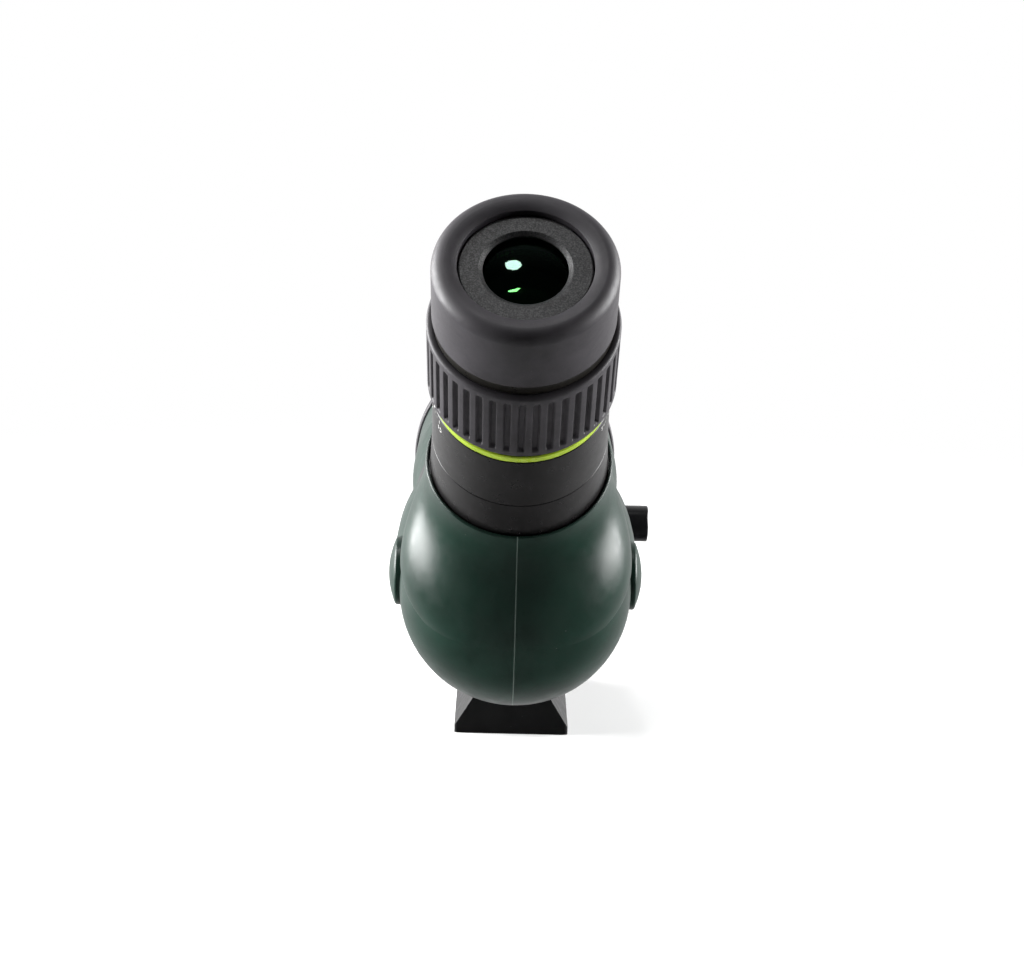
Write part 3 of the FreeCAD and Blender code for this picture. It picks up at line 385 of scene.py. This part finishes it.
def make_lens(node, centre, axis, side, radius, back, front, back_bulge, front_bulge, material, body):
    """A finely ground lens in place of the CAD one; places run along its axis, in millimetres."""
    third = axis.cross(side)
    rings = [(0.0, back - back_bulge)]
    shares = [i / 24 for i in range(1, 24)] + [0.985, 1.0]
    for place, bulge, order in ((back, -back_bulge, shares), (front, front_bulge, shares[::-1])):
        ball = (radius ** 2 + bulge ** 2) / (2 * abs(bulge)) if bulge else 0.0
        for share in order:
            rise = bulge
            if bulge:
                drop = ball - math.sqrt(ball ** 2 - (radius * share) ** 2)
                rise = bulge - math.copysign(drop, bulge)
            rings.append((radius * share, place + rise))
    around = 96
    points = [centre + axis * rings[0][1] * MM]
    for r, place in rings[1:]:
        for k in range(around):
            a = 2 * math.pi * k / around
            out = side * math.cos(a) + third * math.sin(a)
            points.append(centre + axis * place * MM + out * r * MM)
    points.append(centre + axis * (front + front_bulge) * MM)
    last = len(points) - 1
    faces = []
    for k in range(around):
        faces.append((0, 1 + (k + 1) % around, 1 + k))
        faces.append((last, last - around + k, last - around + (k + 1) % around))
        for i in range(len(rings) - 2):
            a = 1 + i * around + k
            b = 1 + i * around + (k + 1) % around
            faces.append((a, b, b + around, a + around))
    made = piece("ground_" + node, points, faces, material, body)
    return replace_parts(made, node)


def make_lenses():
    make_lens("eye_lens", EYE, EYE_DOWN, RIGHT, 15.0, 3.2, 8.0, 1.8, 0.0, "eye_glass", "scope")
    make_lens("ocular_doublet", EYE, EYE_DOWN, RIGHT, 17.9, 14.0, 21.0, 2.5, 2.5,
              "coated_glass", "scope")
    tube = Vector((0, 0, AXIS_Z))
    make_lens("crown_lens", tube, Vector((0, 1, 0)), RIGHT, 31.95, 110.0, 119.0, 2.0, 2.5,
              "front_glass", "scope")


def flat_text(text, height_mm):
    """Corners and faces of a line of figures, centred, in millimetres."""
    curve = bpy.data.curves.new("figures", "FONT")
    curve.body = text
    curve.size = height_mm * 1.4
    curve.align_x = "CENTER"
    curve.align_y = "CENTER"
    curve.resolution_u = 6
    holder = bpy.data.objects.new("figures", curve)
    scene.collection.objects.link(holder)
    bpy.context.view_layer.update()
    mesh = holder.to_mesh()
    points = [(v.co.x, v.co.y) for v in mesh.vertices]
    faces = [tuple(p.vertices) for p in mesh.polygons]
    holder.to_mesh_clear()
    bpy.data.objects.remove(holder)
    bpy.data.curves.remove(curve)
    return points, faces


def wrapped(angle, depth, points, radius):
    """Lays flat points on the barrel; right is clockwise seen from outside the rear."""
    turned = []
    for across, up in points:
        turned.append(round_eye(angle - math.degrees(across / radius), depth - up, radius))
    return turned


def bar(width, height, up=0.0):
    """A thin printed bar, cut into strips so that it follows the barrel."""
    points = []
    for i in range(3):
        x = width * (i / 2 - 0.5)
        points += [(x, up - height / 2), (x, up + height / 2)]
    return points, [(0, 2, 3, 1), (2, 4, 5, 3)]


def print_on(name, prints, radius, body):
    """One printed piece from (angle, depth, points, faces) marks."""
    points = []
    faces = []
    for angle, depth, flat, flat_faces in prints:
        start = len(points)
        points += wrapped(angle, depth, flat, radius)
        faces += [tuple(i + start for i in face) for face in flat_faces]
    made = piece(name, points, faces, white_print, body, False)
    thick = made.modifiers.new("ink", "SOLIDIFY")
    thick.thickness = 0.03 * MM
    thick.offset = 0.0
    return made


def make_scale():
    radius = BARREL_R + 0.07
    prints = []
    for i, text in enumerate(ZOOM_NUMBERS):
        angle = ZOOM_FIRST + ZOOM_STEP * i
        prints.append((angle, SCALE_DEPTH + 1.4, *flat_text(text, 2.1)))
        prints.append((angle, SCALE_DEPTH - 1.9, *bar(0.28, 1.5)))
        if i < len(ZOOM_NUMBERS) - 1:
            for j in range(1, 5):
                prints.append((angle + ZOOM_STEP * j / 5, SCALE_DEPTH - 2.15, *bar(0.16, 0.9)))
    for i in range(5):
        prints.append((25.0 - 3.0 * i, SCALE_DEPTH - 0.6, *bar(0.3, 2.2 if i == 0 else 1.1)))
    print_on("zoom_scale", prints, radius, "scope")
    mark = [(ZOOM_FIRST, GRIP_END - 1.6, *bar(0.5, 1.0))]
    print_on("zoom_index", mark, GRIP_R + 0.01, "zoom_ring")


make_grip()
make_lenses()
make_scale()


# Camera: lens and place from the frame's origin, with its tilt and the scope's lean in degrees.
CAMERA_LENS_MM = 81.95
CAMERA_PLACE = (-0.0011, -0.7928, 0.2445)
CAMERA_TILT = 78.29
SCOPE_LEAN = -1.39

# Area lamps: name, place, target, width, height, watts, shape.
SIDE_TARGET = (0, -0.06, 0.1)
LAMPS = (
    ("left_box", (-1.10, 0.16, 0.40), SIDE_TARGET, 1.0, 0.9, 58, "RECTANGLE"),
    ("right_box", (1.15, 0.12, 0.40), SIDE_TARGET, 0.9, 0.9, 38, "RECTANGLE"),
    ("key_box", (-0.75, -0.15, 1.15), (0, -0.12, 0.15), 0.6, 0.6, 6, "RECTANGLE"),
    ("high_lamp", (-0.098, -0.208, 1.37), (0, -0.16, 0.17), 0.14, 0.14, 2.2, "DISK"),
)

FLOOR_HALF = 1.6
FLOOR_SOLID, FLOOR_GONE = 0.10, 0.55


# --- camera, light and floor ---------------------------------------------------------------------
def make_camera():
    data = bpy.data.cameras.new("camera")
    data.sensor_width = 36.0
    data.lens = CAMERA_LENS_MM
    data.clip_end = 500.0
    cam = bpy.data.objects.new("camera", data)
    scene.collection.objects.link(cam)
    place = Matrix.Translation(CAMERA_PLACE)
    aim = Matrix.Rotation(math.radians(CAMERA_TILT), 4, "X")
    axis = Matrix.Translation((0, 0, AXIS_Z))
    lean = axis @ Matrix.Rotation(math.radians(SCOPE_LEAN), 4, "Y") @ axis.inverted()
    cam.matrix_world = lean @ place @ aim
    scene.camera = cam


def softbox(name, place, target, width, height, power, shape):
    data = bpy.data.lights.new(name, "AREA")
    data.shape = shape
    data.size = width
    data.size_y = height
    data.energy = power
    lamp = bpy.data.objects.new(name, data)
    scene.collection.objects.link(lamp)
    lamp.location = place
    lamp.rotation_mode = "QUATERNION"
    lamp.rotation_quaternion = (Vector(target) - Vector(place)).to_track_quat("-Z", "Y")
    lamp.visible_camera = False
    return lamp


def make_world():
    """A pale room that darkens towards the rear of the scope; the backdrop itself is white."""
    world = bpy.data.worlds.new("studio")
    scene.world = world
    world.use_nodes = True
    tree = world.node_tree
    place = tree.nodes.new("ShaderNodeTexCoord").outputs["Generated"]
    split = tree.nodes.new("ShaderNodeSeparateXYZ")
    tree.links.new(place, split.inputs[0])
    depth = tree.nodes.new("ShaderNodeMapRange")
    depth.interpolation_type = "SMOOTHSTEP"
    depth.inputs["From Min"].default_value = -0.15
    depth.inputs["From Max"].default_value = 0.95
    depth.inputs["To Min"].default_value = 0.012
    depth.inputs["To Max"].default_value = 0.75
    tree.links.new(split.outputs["Y"], depth.inputs["Value"])
    side = tree.nodes.new("ShaderNodeMapRange")
    side.inputs["From Min"].default_value = -1.0
    side.inputs["To Min"].default_value = 1.15
    side.inputs["To Max"].default_value = 0.75
    tree.links.new(split.outputs["X"], side.inputs["Value"])
    product = tree.nodes.new("ShaderNodeMath")
    product.operation = "MULTIPLY"
    tree.links.new(depth.outputs["Result"], product.inputs[0])
    tree.links.new(side.outputs["Result"], product.inputs[1])
    room = tree.nodes["Background"]
    tree.links.new(product.outputs[0], room.inputs["Strength"])
    room.inputs["Color"].default_value = (1, 1, 1, 1)
    white = tree.nodes.new("ShaderNodeBackground")
    white.inputs["Strength"].default_value = 1.0
    white.inputs["Color"].default_value = (1, 1, 1, 1)
    path = tree.nodes.new("ShaderNodeLightPath")
    both = tree.nodes.new("ShaderNodeMixShader")
    tree.links.new(path.outputs["Is Camera Ray"], both.inputs["Fac"])
    tree.links.new(room.outputs[0], both.inputs[1])
    tree.links.new(white.outputs[0], both.inputs[2])
    tree.links.new(both.outputs[0], tree.nodes["World Output"].inputs["Surface"])


def make_floor():
    """Pale paper under the foot that fades into the white room."""
    size = FLOOR_HALF
    mesh = bpy.data.meshes.new("floor")
    mesh.from_pydata([(-size, -size, 0), (size, -size, 0), (size, size, 0), (-size, size, 0)], [],
                     [(0, 1, 2, 3)])
    floor = bpy.data.objects.new("floor", mesh)
    scene.collection.objects.link(floor)
    f = Finish("floor_paper", (0.86, 0.86, 0.86), 0.9)
    f.bsdf.inputs["Emission Color"].default_value = (1, 1, 1, 1)
    f.bsdf.inputs["Emission Strength"].default_value = 0.12
    reach = f.node("ShaderNodeVectorMath")
    reach.operation = "LENGTH"
    f.feed(reach.inputs[0], f.place)
    f.feed(f.bsdf.inputs["Alpha"], f.remap(reach.outputs["Value"], FLOOR_SOLID, FLOOR_GONE, 1.0, 0.0))
    mesh.materials.append(f.done())
    floor.visible_glossy = False  # its pale reflection would wash out the dark body


make_camera()
make_world()
make_floor()
for lamp in LAMPS:
    softbox(*lamp)
scene.view_settings.view_transform = "Standard"
